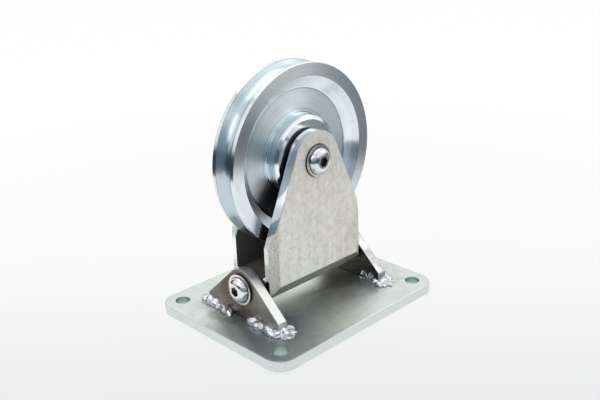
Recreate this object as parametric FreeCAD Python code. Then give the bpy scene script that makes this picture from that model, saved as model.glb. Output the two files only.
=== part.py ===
import FreeCAD, Part
import math
import os

# Swivel rope pulley: a grooved wheel in a fork that tilts between two lugs on a bolted plate.
# Lengths are in millimetres. X runs along the pivot, Y along the axle, Z up,
# with the origin in the middle of the base plate's underside.

# Base plate
plate_length = 125.0
plate_width = 100.0
plate_thickness = 6.0
plate_corner_radius = 10.0
plate_edge_round = 0.5
bolt_hole_diameter = 8.4
bolt_inset = 10.0

# Lugs
lug_thickness = 6.0
lug_foot_width = 56.0
lug_foot_height = 6.0
lug_end_radius = 11.0
lug_edge_round = 0.4
lug_weld_leg = 4.8
lug_weld_run = 17.0
bead_fullness = 0.62

# Pivot
pivot_rise = 17.0
pivot_gap = 1.6
bush_wall = 1.0
bush_flange_diameter = 16.0
bush_recess = 0.2

# Fork
cheek_thickness = 6.0
cheek_width = 70.0
cheek_drop = 3.0
cheek_knee_rise = 25.0
cheek_top_radius = 16.0
cheek_edge_round = 0.4
bevel_width = 5.0
bevel_depth = 3.0
fork_gap = 22.5
block_height = 12.0
tack_radius = 2.2
tack_proud = 1.1
seam_leg = 2.4
seam_length = 40.0

# Axle and wheel
axle_rise = 65.0
axle_screw_hole = 8.4
wheel_diameter = 100.0
rim_width = 16.3
rim_land = 2.5
rim_face_width = 7.2
groove_half_angle = 45.0
groove_radius = 5.0
recess_depth = 5.95
recess_run = 6.3
hub_diameter = 45.0
hub_chamfer_run = 2.1
hub_chamfer_depth = 1.1
hub_overhang = 0.3
hub_shoulder_width = 2.0
hub_shoulder_height = 1.5
recess_root_radius = 1.0
hub_root_radius = 0.5
edge_break = 0.3

# Ball bearings
bearing_bore = 12.0
bearing_diameter = 28.0
bearing_width = 8.0
ball_diameter = 4.76
ball_count = 8
ring_shoulder = 1.4
seal_thickness = 0.7
seal_seat = 0.5
seal_recess = 0.2
cage_height = 2.0
cage_width = 5.4
spacer_wall = 2.4

# Flanged button-head screws
screw_diameter = 8.0
head_flange_diameter = 17.2
head_seat_diameter = 12.4
head_rim_lift = 0.7
head_rim_thickness = 0.6
head_dome_diameter = 14.4
head_bow_diameter = 12.4
head_bow_height = 3.35
head_top_diameter = 7.4
head_height = 4.6
socket_width = 5.0
socket_depth = 2.8
pivot_thread_depth = 12.0
axle_thread_depth = 9.0
tapped_hole_spare = 2.0

# Clearances
thread_clearance = 0.05
seat_clearance = 0.02
pivot_clearance = 0.05
pivot_side_play = 0.1
race_clearance = 0.06
pocket_clearance = 0.12
seal_lip_clearance = 0.3

# Places that follow from the sizes above
pivot_z = plate_thickness + pivot_rise
axle_z = pivot_z + axle_rise
lug_inner_x = cheek_width / 2 + pivot_gap
lug_outer_x = lug_inner_x + lug_thickness
cheek_inner_y = fork_gap / 2
cheek_outer_y = cheek_inner_y + cheek_thickness
block_top_z = pivot_z + block_height / 2
cheek_bottom_z = pivot_z - cheek_drop
bearing_y = (hub_shoulder_width + bearing_width) / 2
hub_half_length = hub_shoulder_width / 2 + bearing_width + hub_overhang
tapped_diameter = screw_diameter + 2 * thread_clearance
bush_bore = screw_diameter + 2 * pivot_clearance
bush_diameter = bush_bore + 2 * bush_wall
pitch_radius = (bearing_bore + bearing_diameter) / 4
ball_radius = ball_diameter / 2

x_axis = FreeCAD.Vector(1, 0, 0)
y_axis = FreeCAD.Vector(0, 1, 0)
z_axis = FreeCAD.Vector(0, 0, 1)
axle_centre = FreeCAD.Vector(0, 0, axle_z)


def rounded_wire(corners):
    """Closed wire through (point, radius) corners, each corner rounded by a tangent arc."""
    ends = []
    for i, (point, radius) in enumerate(corners):
        before = (corners[i - 1][0] - point).normalize()
        after = (corners[(i + 1) % len(corners)][0] - point).normalize()
        if radius == 0:
            ends.append((point, None, point))
            continue
        half = before.getAngle(after) / 2
        middle = (before + after).normalize()
        reach = radius / math.tan(half)
        crown = point + middle * (radius / math.sin(half) - radius)
        ends.append((point + before * reach, crown, point + after * reach))
    edges = []
    for i, (start, crown, end) in enumerate(ends):
        if crown is not None:
            edges.append(Part.Arc(start, crown, end).toShape())
        following = ends[(i + 1) % len(ends)][0]
        if end.distanceToPoint(following) > 1e-6:
            edges.append(Part.LineSegment(end, following).toShape())
    return Part.Wire(edges)


def turned(profile, centre):
    """Solid of revolution about the Y axis through centre, from (radius, y, corner radius) points."""
    corners = [(centre + FreeCAD.Vector(0, y, r), corner) for r, y, corner in profile]
    return Part.Face(rounded_wire(corners)).revolve(centre, y_axis, 360)


def ring(inner, outer, start, end):
    """Plain ring about the axle, between two radii and two places along Y."""
    return turned([(inner, start, 0), (outer, start, 0), (outer, end, 0), (inner, end, 0)], axle_centre)


def tangent_slope(half_width, rise, radius):
    """Angle of the side that leaves a foot corner and touches a round end above it."""
    return math.atan2(rise, half_width) + math.asin(radius / math.hypot(half_width, rise))


def hole(diameter, start, direction, depth):
    return Part.makeCylinder(diameter / 2, depth, start, direction)


def round_outline(body, normal, radius, above_z):
    """Round the edges of a plate's outline, on both faces, where they lie above a height."""
    rims = [e for e in body.Edges
            if abs(e.tangentAt(e.FirstParameter).dot(normal)) < 0.5 and e.CenterOfMass.z > above_z]
    return body.makeFillet(radius, rims)


def base_plate():
    half_x = plate_length / 2
    half_y = plate_width / 2
    corners = [(FreeCAD.Vector(sx * half_x, sy * half_y, 0), plate_corner_radius)
               for sx, sy in ((-1, -1), (1, -1), (1, 1), (-1, 1))]
    plate = Part.Face(rounded_wire(corners)).extrude(z_axis * plate_thickness)
    plate = round_outline(plate, z_axis, plate_edge_round, -plate_thickness)
    for sx in (-1, 1):
        for sy in (-1, 1):
            at = FreeCAD.Vector(sx * (half_x - bolt_inset), sy * (half_y - bolt_inset), 0)
            plate = plate.cut(hole(bolt_hole_diameter, at, z_axis, plate_thickness))
    return plate


def lug(side):
    half = lug_foot_width / 2
    knee_z = plate_thickness + lug_foot_height
    slope = tangent_slope(half, pivot_z - knee_z, lug_end_radius)
    apex_z = knee_z + half * math.tan(slope)
    outline = [(-half, plate_thickness, 0), (half, plate_thickness, 0), (half, knee_z, 0),
               (0, apex_z, lug_end_radius), (-half, knee_z, 0)]
    inner_x = side * lug_inner_x
    wire = rounded_wire([(FreeCAD.Vector(inner_x, y, z), r) for y, z, r in outline])
    body = Part.Face(wire).extrude(x_axis * side * lug_thickness)
    body = round_outline(body, x_axis, lug_edge_round, knee_z)
    seat = bush_diameter + 2 * seat_clearance
    return body.cut(hole(seat, FreeCAD.Vector(inner_x, 0, pivot_z), x_axis * side, lug_thickness))


def bead_section(leg):
    """Bulging corner bead in the XZ plane: one leg on the floor, one up the wall at x = 0."""
    crown = leg * bead_fullness
    foot = FreeCAD.Vector(leg, 0, 0)
    top = FreeCAD.Vector(0, 0, leg)
    root = FreeCAD.Vector(0, 0, 0)
    bulge = Part.Arc(foot, FreeCAD.Vector(crown, 0, crown), top).toShape()
    lines = [Part.LineSegment(top, root).toShape(), Part.LineSegment(root, foot).toShape()]
    return Part.Face(Part.Wire([bulge] + lines))


def bead_round_end(x, y_end):
    """Bead that wraps one end of a lug's foot: both faces, the end and the corners between."""
    section = bead_section(lug_weld_leg)
    start_y = y_end - lug_weld_run
    half = lug_thickness / 2

    def placed(at_x, at_y, turn):
        face = section.copy()
        face.rotate(FreeCAD.Vector(0, 0, 0), z_axis, turn)
        face.translate(FreeCAD.Vector(x + at_x, at_y, plate_thickness))
        return face

    def corner(at_x, at_y, turn):
        pivot = FreeCAD.Vector(x + at_x, at_y, plate_thickness)
        return placed(at_x, at_y, turn).revolve(pivot, z_axis, 90)

    pieces = [
        placed(half, start_y, 0).extrude(y_axis * lug_weld_run),
        placed(-half, start_y, 180).extrude(y_axis * lug_weld_run),
        placed(-half, y_end, 90).extrude(x_axis * lug_thickness),
        corner(half, y_end, 0),
        corner(-half, y_end, 90),
        corner(half, start_y, 270),
        corner(-half, start_y, 180),
    ]
    return pieces[0].multiFuse(pieces[1:]).removeSplitter()


def lug_welds(side):
    """Two beads, one at each end of the lug's foot."""
    middle_x = side * (lug_inner_x + lug_thickness / 2)
    far = bead_round_end(middle_x, lug_foot_width / 2)
    near = far.mirror(FreeCAD.Vector(0, 0, 0), y_axis)
    return Part.Compound([far, near])


def pivot_bush(side):
    """Bush pressed into a lug, with its flange on the lug's inner face."""
    inner_x = side * lug_inner_x
    flange_thickness = pivot_gap - pivot_side_play
    seat = FreeCAD.Vector(inner_x, 0, pivot_z)
    sleeve = hole(bush_diameter, seat, x_axis * side, lug_thickness - bush_recess)
    flange = hole(bush_flange_diameter, seat, x_axis * -side, flange_thickness)
    bore_start = seat - x_axis * side * flange_thickness
    bore = hole(bush_bore, bore_start, x_axis * side, flange_thickness + lug_thickness)
    return sleeve.fuse(flange).removeSplitter().cut(bore)


def button_screw(seat, direction, length):
    """Screw with its head's seat at a point, the head facing along direction."""
    rim_top = head_rim_lift + head_rim_thickness
    dome_r = head_dome_diameter / 2
    top_r = head_top_diameter / 2
    bow = FreeCAD.Vector(head_bow_diameter / 2, 0, head_bow_height)
    shank_r = screw_diameter / 2
    flange_r = head_flange_diameter / 2
    points = [(0, -length), (shank_r - edge_break, -length), (shank_r, edge_break - length), (shank_r, 0),
              (head_seat_diameter / 2, 0), (flange_r, head_rim_lift), (flange_r, rim_top), (dome_r, rim_top)]
    outline = [FreeCAD.Vector(r, 0, z) for r, z in points]
    dome_top = FreeCAD.Vector(top_r, 0, head_height)
    axis_top = FreeCAD.Vector(0, 0, head_height)
    edges = [Part.LineSegment(a, b).toShape() for a, b in zip(outline, outline[1:])]
    edges.append(Part.Arc(outline[-1], bow, dome_top).toShape())
    edges.append(Part.LineSegment(dome_top, axis_top).toShape())
    edges.append(Part.LineSegment(axis_top, outline[0]).toShape())
    screw = Part.Face(Part.Wire(edges)).revolve(FreeCAD.Vector(0, 0, 0), z_axis, 360)
    corner_r = socket_width / math.sqrt(3)
    hexagon = [FreeCAD.Vector(corner_r * math.cos(math.radians(60 * i)),
                              corner_r * math.sin(math.radians(60 * i)),
                              head_height - socket_depth) for i in range(7)]
    socket = Part.Face(Part.makePolygon(hexagon)).extrude(z_axis * socket_depth)
    screw = screw.cut(socket)
    screw.Placement = FreeCAD.Placement(seat, FreeCAD.Rotation(z_axis, direction))
    return screw


def pivot_screw(side):
    seat = FreeCAD.Vector(side * (lug_outer_x + pivot_side_play), 0, pivot_z)
    length = pivot_side_play + lug_thickness + pivot_gap + pivot_thread_depth
    return button_screw(seat, x_axis * side, length)


def axle_screw(side):
    seat = FreeCAD.Vector(0, side * cheek_outer_y, axle_z)
    return button_screw(seat, y_axis * side, cheek_thickness + axle_thread_depth)


def bevel_tool(edge, along, length):
    """Wedge whose long face passes through a bevel; edge is the bevelled corner, along its direction."""
    outward = along.cross(y_axis)
    on_face = edge - outward * bevel_width
    on_edge = edge + y_axis * bevel_depth
    slant = on_edge - on_face
    apex = edge + outward * bevel_width - y_axis * bevel_depth
    wedge = Part.makePolygon([on_face - slant, on_edge + slant, apex, on_face - slant])
    return Part.Face(wedge).extrude(along * length)


def cheek(side):
    """Tapered fork plate; its outer face has bevels along the lower sides and the bottom."""
    half = cheek_width / 2
    knee_z = pivot_z + cheek_knee_rise
    slope = tangent_slope(half, axle_z - knee_z, cheek_top_radius)
    apex_z = knee_z + half * math.tan(slope)
    outline = [(-half, cheek_bottom_z, 0), (half, cheek_bottom_z, 0), (half, knee_z, 0),
               (0, apex_z, cheek_top_radius), (-half, knee_z, 0)]
    wire = rounded_wire([(FreeCAD.Vector(x, -cheek_outer_y, z), r) for x, z, r in outline])
    plate = Part.Face(wire).extrude(y_axis * cheek_thickness)
    plate = round_outline(plate, y_axis, cheek_edge_round, knee_z)
    height = axle_z + cheek_top_radius - cheek_bottom_z
    left = FreeCAD.Vector(-half, -cheek_outer_y, cheek_bottom_z)
    right = FreeCAD.Vector(half, -cheek_outer_y, cheek_bottom_z + height)
    tools = [bevel_tool(left, z_axis, height), bevel_tool(right, z_axis * -1, height),
             bevel_tool(right - z_axis * height, x_axis * -1, cheek_width)]
    tools.append(hole(axle_screw_hole, FreeCAD.Vector(0, -cheek_outer_y, axle_z), y_axis, cheek_thickness))
    for tool in tools:
        plate = plate.cut(tool)
    if side > 0:
        plate.rotate(FreeCAD.Vector(0, 0, 0), z_axis, 180)
    return plate


def pivot_block():
    """Bar between the cheeks, tapped at both ends for the pivot screws."""
    half = cheek_width / 2
    corner = FreeCAD.Vector(-half, -cheek_inner_y, pivot_z - block_height / 2)
    block = Part.makeBox(cheek_width, fork_gap, block_height, corner)
    for side in (-1, 1):
        mouth = FreeCAD.Vector(side * half, 0, pivot_z)
        block = block.cut(hole(tapped_diameter, mouth, x_axis * -side, pivot_thread_depth + tapped_hole_spare))
    return block


def fork_welds(steel):
    """Tacks on the block's top corners and a seam under each cheek."""
    welds = []
    tack_x = cheek_width / 2 + tack_proud - tack_radius
    for sx in (-1, 1):
        for sy in (-1, 1):
            at = FreeCAD.Vector(sx * tack_x, sy * cheek_inner_y, block_top_z)
            welds.append(Part.makeSphere(tack_radius, at).cut(steel))
    for sy in (-1, 1):
        section = bead_section(seam_leg)
        section.rotate(FreeCAD.Vector(0, 0, 0), x_axis, 180)
        section.rotate(FreeCAD.Vector(0, 0, 0), z_axis, 90 * sy)
        section.translate(FreeCAD.Vector(-seam_length / 2, sy * cheek_inner_y, cheek_bottom_z))
        welds.append(section.extrude(x_axis * seam_length))
    return Part.Compound(welds)


def sheave():
    """Turned wheel: rope groove, rim, coned recess, web and stepped hub, the same on both sides."""
    outer = wheel_diameter / 2
    face_y = rim_width / 2
    web_y = face_y - recess_depth
    recess_r = outer - rim_face_width
    hub_r = hub_diameter / 2
    seat_r = bearing_diameter / 2 + seat_clearance
    groove_half = face_y - rim_land
    groove_floor = outer - groove_half / math.tan(math.radians(groove_half_angle))
    half = [
        (seat_r - hub_shoulder_height, hub_shoulder_width / 2, 0),
        (seat_r, hub_shoulder_width / 2, 0),
        (seat_r, hub_half_length, 0),
        (hub_r - hub_chamfer_run, hub_half_length, edge_break),
        (hub_r, hub_half_length - hub_chamfer_depth, edge_break),
        (hub_r, web_y, hub_root_radius),
        (recess_r - recess_run, web_y, recess_root_radius),
        (recess_r, face_y, edge_break),
        (outer, face_y, edge_break),
        (outer, face_y - rim_land, edge_break),
    ]
    mirrored = [(r, -y, corner) for r, y, corner in reversed(half)]
    return turned(half + [(groove_floor, 0, groove_radius)] + mirrored, axle_centre)


def ring_with_race(back, shoulder, middle_y, rebate):
    """Bearing ring from its back to its shoulder, with the balls' track and a seal rebate."""
    outward = 1 if shoulder > back else -1
    race = ball_radius + race_clearance
    half_track = math.sqrt(race ** 2 - ring_shoulder ** 2)
    half = bearing_width / 2
    step = half - seal_recess - seal_thickness
    points = [(back, -half)]
    if rebate > 0:
        points += [(shoulder - outward * rebate, -half), (shoulder - outward * rebate, -step), (shoulder, -step)]
    else:
        points.append((shoulder, -half))
    points.append((shoulder, -half_track))
    spots = [axle_centre + FreeCAD.Vector(0, middle_y + y, r) for r, y in points]
    other = [axle_centre + FreeCAD.Vector(0, middle_y - y, r) for r, y in reversed(points)]
    floor = axle_centre + FreeCAD.Vector(0, middle_y, pitch_radius - outward * race)
    edges = [Part.LineSegment(a, b).toShape() for a, b in zip(spots, spots[1:])]
    edges.append(Part.Arc(spots[-1], floor, other[0]).toShape())
    edges += [Part.LineSegment(a, b).toShape() for a, b in zip(other, other[1:])]
    edges.append(Part.LineSegment(other[-1], spots[0]).toShape())
    return Part.Face(Part.Wire(edges)).revolve(axle_centre, y_axis, 360)


def bearing_inner_ring(side):
    back = bearing_bore / 2 + seat_clearance
    return ring_with_race(back, pitch_radius - ring_shoulder, side * bearing_y, 0)


def bearing_outer_ring(side):
    back = bearing_diameter / 2
    return ring_with_race(back, pitch_radius + ring_shoulder, side * bearing_y, seal_seat)


def bearing_seals(side):
    """Two flat seals in the outer ring's rebates."""
    lip = pitch_radius - ring_shoulder + seal_lip_clearance
    rim = pitch_radius + ring_shoulder + seal_seat - seat_clearance
    reach = bearing_width / 2 - seal_recess
    middle = side * bearing_y
    return Part.Compound([ring(lip, rim, middle + reach - seal_thickness, middle + reach),
                          ring(lip, rim, middle - reach, middle - reach + seal_thickness)])


def ball_places(side):
    for i in range(ball_count):
        turn = 2 * math.pi * i / ball_count
        spot = FreeCAD.Vector(math.sin(turn), 0, math.cos(turn)) * pitch_radius
        yield axle_centre + spot + y_axis * side * bearing_y


def bearing_balls(side):
    return Part.Compound([Part.makeSphere(ball_radius, at) for at in ball_places(side)])


def bearing_cage(side):
    """Ring between the races with a drilled pocket for each ball."""
    middle = axle_centre + y_axis * side * bearing_y
    outer = pitch_radius + cage_height / 2
    start = side * bearing_y - cage_width / 2
    cage = ring(outer - cage_height, outer, start, start + cage_width)
    for at in ball_places(side):
        cage = cage.cut(hole(ball_diameter + 2 * pocket_clearance, middle, at - middle, 2 * outer))
    return cage


def axle_pin():
    """Pin between the cheeks, tapped right through."""
    start = FreeCAD.Vector(0, -cheek_inner_y, axle_z)
    return hole(bearing_bore, start, y_axis, fork_gap).cut(hole(tapped_diameter, start, y_axis, fork_gap))


def axle_spacer(side):
    inner = bearing_bore / 2 + seat_clearance
    start = hub_shoulder_width / 2 + bearing_width
    low, high = sorted((side * start, side * cheek_inner_y))
    return ring(inner, inner + spacer_wall, low, high)


def bearing_spacer():
    inner = bearing_bore / 2 + seat_clearance
    return ring(inner, inner + spacer_wall, -hub_shoulder_width / 2, hub_shoulder_width / 2)


def main():
    nodes = {"base_plate": base_plate(), "pivot_block": pivot_block(), "axle_pin": axle_pin(),
             "sheave": sheave(), "bearing_spacer": bearing_spacer()}
    for name, side in (("left", -1), ("right", 1)):
        nodes[name + "_lug"] = lug(side)
        nodes[name + "_lug_welds"] = lug_welds(side)
        nodes[name + "_pivot_bush"] = pivot_bush(side)
        nodes[name + "_pivot_screw"] = pivot_screw(side)
    for name, side in (("front", -1), ("rear", 1)):
        nodes[name + "_cheek"] = cheek(side)
        nodes[name + "_axle_screw"] = axle_screw(side)
        nodes[name + "_axle_spacer"] = axle_spacer(side)
        nodes[name + "_bearing_inner_ring"] = bearing_inner_ring(side)
        nodes[name + "_bearing_outer_ring"] = bearing_outer_ring(side)
        nodes[name + "_bearing_seals"] = bearing_seals(side)
        nodes[name + "_bearing_balls"] = bearing_balls(side)
        nodes[name + "_bearing_cage"] = bearing_cage(side)
    steel = Part.Compound([nodes["pivot_block"], nodes["front_cheek"], nodes["rear_cheek"]])
    nodes["fork_welds"] = fork_welds(steel)
    os.makedirs("parts", exist_ok=True)
    for name, shape in nodes.items():
        shape.exportStep("parts/" + name + ".step")
        print(name, len(shape.Solids), round(shape.Volume, 1), shape.isValid())


main()
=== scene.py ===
import bpy
import math
import random
from mathutils import Matrix, Vector


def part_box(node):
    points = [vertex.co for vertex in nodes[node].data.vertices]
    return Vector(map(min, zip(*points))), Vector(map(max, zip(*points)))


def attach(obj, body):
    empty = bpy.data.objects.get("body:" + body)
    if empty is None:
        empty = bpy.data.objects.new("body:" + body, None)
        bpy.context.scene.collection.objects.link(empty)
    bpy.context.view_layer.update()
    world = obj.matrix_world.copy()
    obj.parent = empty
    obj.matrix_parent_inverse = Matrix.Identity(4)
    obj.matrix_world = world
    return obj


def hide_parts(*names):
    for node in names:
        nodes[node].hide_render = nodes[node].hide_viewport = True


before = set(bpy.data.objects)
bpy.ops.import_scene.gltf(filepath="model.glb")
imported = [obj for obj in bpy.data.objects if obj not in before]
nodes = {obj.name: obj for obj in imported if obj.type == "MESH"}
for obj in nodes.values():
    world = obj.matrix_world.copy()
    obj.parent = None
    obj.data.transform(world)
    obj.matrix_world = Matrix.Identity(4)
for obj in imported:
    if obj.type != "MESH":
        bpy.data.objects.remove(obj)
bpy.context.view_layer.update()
scene = bpy.context.scene
scene.view_settings.view_transform = "Standard"
print("frame loaded,", len(nodes), "nodes")


# helpers for shader trees

layoutSet = {"start": (-1700, 600), "step": (200, -180), "rows": 8,      # columns of nodes, as they are made
             "groupIn": (-1950, 0), "shader": (1100, 0), "output": (1400, 0)}


def feed(tree, socket, value):
    if isinstance(value, bpy.types.NodeSocket):
        tree.links.new(value, socket)
    else:
        socket.default_value = value


def putNode(tree, kind, sockets=None, **settings):
    column, row = divmod(len(tree.nodes), layoutSet["rows"])
    made = tree.nodes.new("ShaderNode" + kind)
    made.location = (layoutSet["start"][0] + layoutSet["step"][0] * column,
                     layoutSet["start"][1] + layoutSet["step"][1] * row)
    for key, value in settings.items():
        setattr(made, key, value)
    for key, value in (sockets or {}).items():
        feed(tree, made.inputs[key], value)
    return made


def calc(tree, operation, first, second=0.0, clamp=False):
    return putNode(tree, "Math", {0: first, 1: second}, operation=operation, use_clamp=clamp).outputs[0]


def times(tree, first, second):
    return calc(tree, "MULTIPLY", first, second)


def vectorMath(tree, operation, first, second=(0, 0, 0)):
    made = putNode(tree, "VectorMath", {0: first, 1: second}, operation=operation)
    return made.outputs["Value" if operation in ("DOT_PRODUCT", "DISTANCE", "LENGTH") else "Vector"]


def split(tree, value):
    return putNode(tree, "SeparateXYZ", {0: value}).outputs


def smooth(tree, value, low, high, toLow=0.0, toHigh=1.0):
    made = putNode(tree, "MapRange", {0: value, 1: low, 2: high, 3: toLow, 4: toHigh},
                   interpolation_type="SMOOTHSTEP")
    return made.outputs[0]


def between(tree, value, rise, fall, share=1.0):
    return times(tree, smooth(tree, value, *rise, 0.0, share), smooth(tree, value, *fall, 1.0, 0.0))


def lineAt(tree, value, centre, half, share):
    away = calc(tree, "ABSOLUTE", calc(tree, "SUBTRACT", value, centre))
    return smooth(tree, away, *half, share, 0.0)


def noise(tree, where, scale, detail, rough=0.5):
    made = putNode(tree, "TexNoise", {"Vector": where, "Scale": scale, "Detail": detail, "Roughness": rough})
    return made.outputs["Fac"]


def blend(tree, factor, low, high):
    low, high = [tone if isinstance(tone, bpy.types.NodeSocket) else (*tone, 1.0) for tone in (low, high)]
    return putNode(tree, "Mix", {0: factor, 6: low, 7: high}, data_type="RGBA").outputs[2]


def mixValue(tree, factor, low, high):
    return putNode(tree, "Mix", {0: factor, 2: low, 3: high}).outputs[0]


def newGroup(name, inputs, outputs):
    group = bpy.data.node_groups.new(name, "ShaderNodeTree")
    kinds = {"vector": "NodeSocketVector", "value": "NodeSocketFloat", "colour": "NodeSocketColor"}
    for wanted, way in ((inputs, "INPUT"), (outputs, "OUTPUT")):
        for label, kind in wanted.items():
            group.interface.new_socket(label, in_out=way, socket_type=kinds[kind])
    start = group.nodes.new("NodeGroupInput")
    start.location = layoutSet["groupIn"]
    end = group.nodes.new("NodeGroupOutput")
    end.location = layoutSet["output"]
    return group, start.outputs, end.inputs


def putOut(group, out, **results):
    for label, value in results.items():
        group.links.new(value, out[label])


def useGroup(tree, group, sockets):
    return putNode(tree, "Group", sockets, node_tree=group).outputs


def newMaterial(name):
    material = bpy.data.materials.new(name)
    material.use_nodes = True
    tree = material.node_tree
    shader = tree.nodes["Principled BSDF"]
    shader.location = layoutSet["shader"]
    tree.nodes["Material Output"].location = layoutSet["output"]
    return material, tree, shader.inputs, putNode(tree, "TexCoord").outputs["Object"]


def addBump(tree, shader, height, strength, distance):
    bump = putNode(tree, "Bump", {"Strength": strength, "Distance": distance, "Height": height})
    feed(tree, shader["Normal"], bump.outputs[0])


def dress(names, material):
    for name in names:
        for slot in nodes[name].material_slots:
            slot.material = material


# camera at the photo's viewing angle

cameraSet = {"place": (-0.30054, -0.31421, 0.23173), "azimuth": -44.01, "elevation": 21.42, "roll": -1.87,
             "lens": 51.18, "sensor": 36.0, "nearest": 0.01}


def addCamera(opts):
    bpy.ops.object.camera_add(location=opts["place"])
    camera = bpy.context.object
    camera.name = "viewCamera"
    camera.data.lens = opts["lens"]
    camera.data.sensor_width = opts["sensor"]
    camera.data.clip_start = opts["nearest"]
    turn = (Matrix.Rotation(math.radians(opts["azimuth"]), 4, "Z")
            @ Matrix.Rotation(math.radians(90 - opts["elevation"]), 4, "X")
            @ Matrix.Rotation(math.radians(opts["roll"]), 4, "Z"))
    camera.matrix_world = Matrix.Translation(opts["place"]) @ turn
    scene.camera = camera


addCamera(cameraSet)
print("camera set")


# white sweep that lies along the view, soft light from above, a dark room round it

studioSet = {
    "across": (0.7195, -0.6945, 0.0), "along": (0.6945, 0.7195, 0.0),       # to the view's right, and away
    "floorSize": 12.0, "floorGap": 0.0003, "backdrop": (1.0, 1.0, 1.0),
    "floorWhite": (1.0, 1.0, 1.0), "floorMatt": (0.86, 0.86, 0.86),
    "floorShade": (0.70, 0.71, 0.73),                           # seen nearest to the camera
    "shadeWay": (-0.72, -0.69, 0.0), "shadeFrom": (-0.1, 0.3),
    "shadowShare": (0.16, 0.03), "shadowReach": (0.20, 0.50),
    "sheetLeft": (-0.285, -0.255), "sheetRight": (0.225, 0.250), "sheetFront": (-0.33, -0.27),
    "leftDark": (0.035, 0.045, 0.055), "leftSpread": (-0.85, -0.6),
    "frontDark": (0.12, 0.18, 0.23),
    "frontHaze": (0.38, 0.48, 0.54), "hazeShare": 0.75,
    "hazeSpread": (-0.85, -0.60), "hazeRise": (0.03, 0.12),
    "rightDark": (0.075, 0.090, 0.105), "rightGrey": (0.21, 0.24, 0.255),
    "greySpread": (-0.25, 0.0), "rightSpread": (0.2, 0.6), "backSpread": (0.60, 0.82),
    "roomTop": (1.0, 1.0, 1.0), "roomRise": (0.38, 0.52),       # sine of the height where it turns bright
    "panelSpread": (-0.97, -0.88), "leftDrop": 0.38,            # side panels turn bright lower down
    "rightWall": (0.50, 0.80), "rightDrop": 0.36,
    "boxSide": (0.602, -0.799, 0.0), "boxSpread": (0.978, 0.996), "boxFrom": (0.46, 0.56), "boxShare": 0.68,
    "gaps": [(-0.114, 0.722, 0.682), (-0.230, -0.696, 0.682)],      # dark gaps between the lamps
    "gapSpread": (0.988, 0.997), "gapShade": 0.75,
    "fill": (0.62, 0.62, 0.62), "lampAim": (0.0, 0.0, 0.06),
    "lamps": [("overheadLamp", (0.10, 0.25, 0.95), 0.9, 2.6), ("leftLamp", (-0.95, 0.10, 0.70), 0.6, 1.6),
              ("rightLamp", (0.85, -0.55, 0.75), 0.6, 1.4)],
}


def makeStudioRoom(opts):
    group, given, out = newGroup("studioRoom", {"Direction": "vector"},
                                 {"Tone": "colour", "Box": "value", "Lift": "value", "Back": "value",
                                  "Front": "value"})
    level = vectorMath(group, "NORMALIZE", vectorMath(group, "MULTIPLY", given["Direction"], (1, 1, 0)))
    across, along, boxward = [vectorMath(group, "DOT_PRODUCT", level, opts[key])
                              for key in ("across", "along", "boxSide")]
    grey = blend(group, smooth(group, along, *opts["greySpread"]), opts["rightDark"], opts["rightGrey"])
    tone = blend(group, smooth(group, across, *opts["rightSpread"]), opts["frontDark"], grey)
    left = smooth(group, across, *opts["leftSpread"], 1.0, 0.0)
    leftLift = smooth(group, across, *opts["panelSpread"], opts["leftDrop"], 0.0)
    rightLift = smooth(group, across, *opts["rightWall"], 0.0, opts["rightDrop"])
    putOut(group, out, Tone=blend(group, left, tone, opts["leftDark"]),
           Lift=calc(group, "ADD", leftLift, rightLift),
           Back=smooth(group, along, *opts["backSpread"]),
           Box=smooth(group, boxward, *opts["boxSpread"], 0.0, opts["boxShare"]),
           Front=smooth(group, along, *opts["hazeSpread"], opts["hazeShare"], 0.0))
    return group


def makeWorld(opts):
    world = bpy.data.worlds.new("studio")
    scene.world = world
    world.use_nodes = True
    tree = world.node_tree
    tree.nodes.clear()
    direction = putNode(tree, "TexCoord").outputs["Generated"]
    room = useGroup(tree, studioRoom, {"Direction": direction})
    height = split(tree, direction)["Z"]
    hazy = times(tree, room["Front"], smooth(tree, height, *opts["hazeRise"]))
    tone = blend(tree, hazy, room["Tone"], opts["frontHaze"])
    high = smooth(tree, calc(tree, "ADD", height, room["Lift"]), *opts["roomRise"])
    lit = calc(tree, "MAXIMUM", calc(tree, "MAXIMUM", high, room["Box"]), room["Back"])
    colour = blend(tree, lit, tone, opts["roomTop"])
    for place in opts["gaps"]:
        toGap = vectorMath(tree, "DOT_PRODUCT", direction, place)
        gap = smooth(tree, toGap, *opts["gapSpread"], 0.0, opts["gapShade"])
        colour = blend(tree, gap, colour, opts["leftDark"])
    mirrored, fill, white = [putNode(tree, "Background", {"Color": value, "Strength": 1.0}).outputs[0]
                             for value in (colour, (*opts["fill"], 1.0), (*opts["backdrop"], 1.0))]
    path = putNode(tree, "LightPath").outputs
    glossy = putNode(tree, "MixShader", {0: path["Is Glossy Ray"], 1: fill, 2: mirrored}).outputs[0]
    seen = calc(tree, "MAXIMUM", path["Is Camera Ray"], path["Is Transmission Ray"])
    both = putNode(tree, "MixShader", {0: seen, 1: glossy, 2: white}).outputs[0]
    putNode(tree, "OutputWorld", {"Surface": both})


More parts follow.
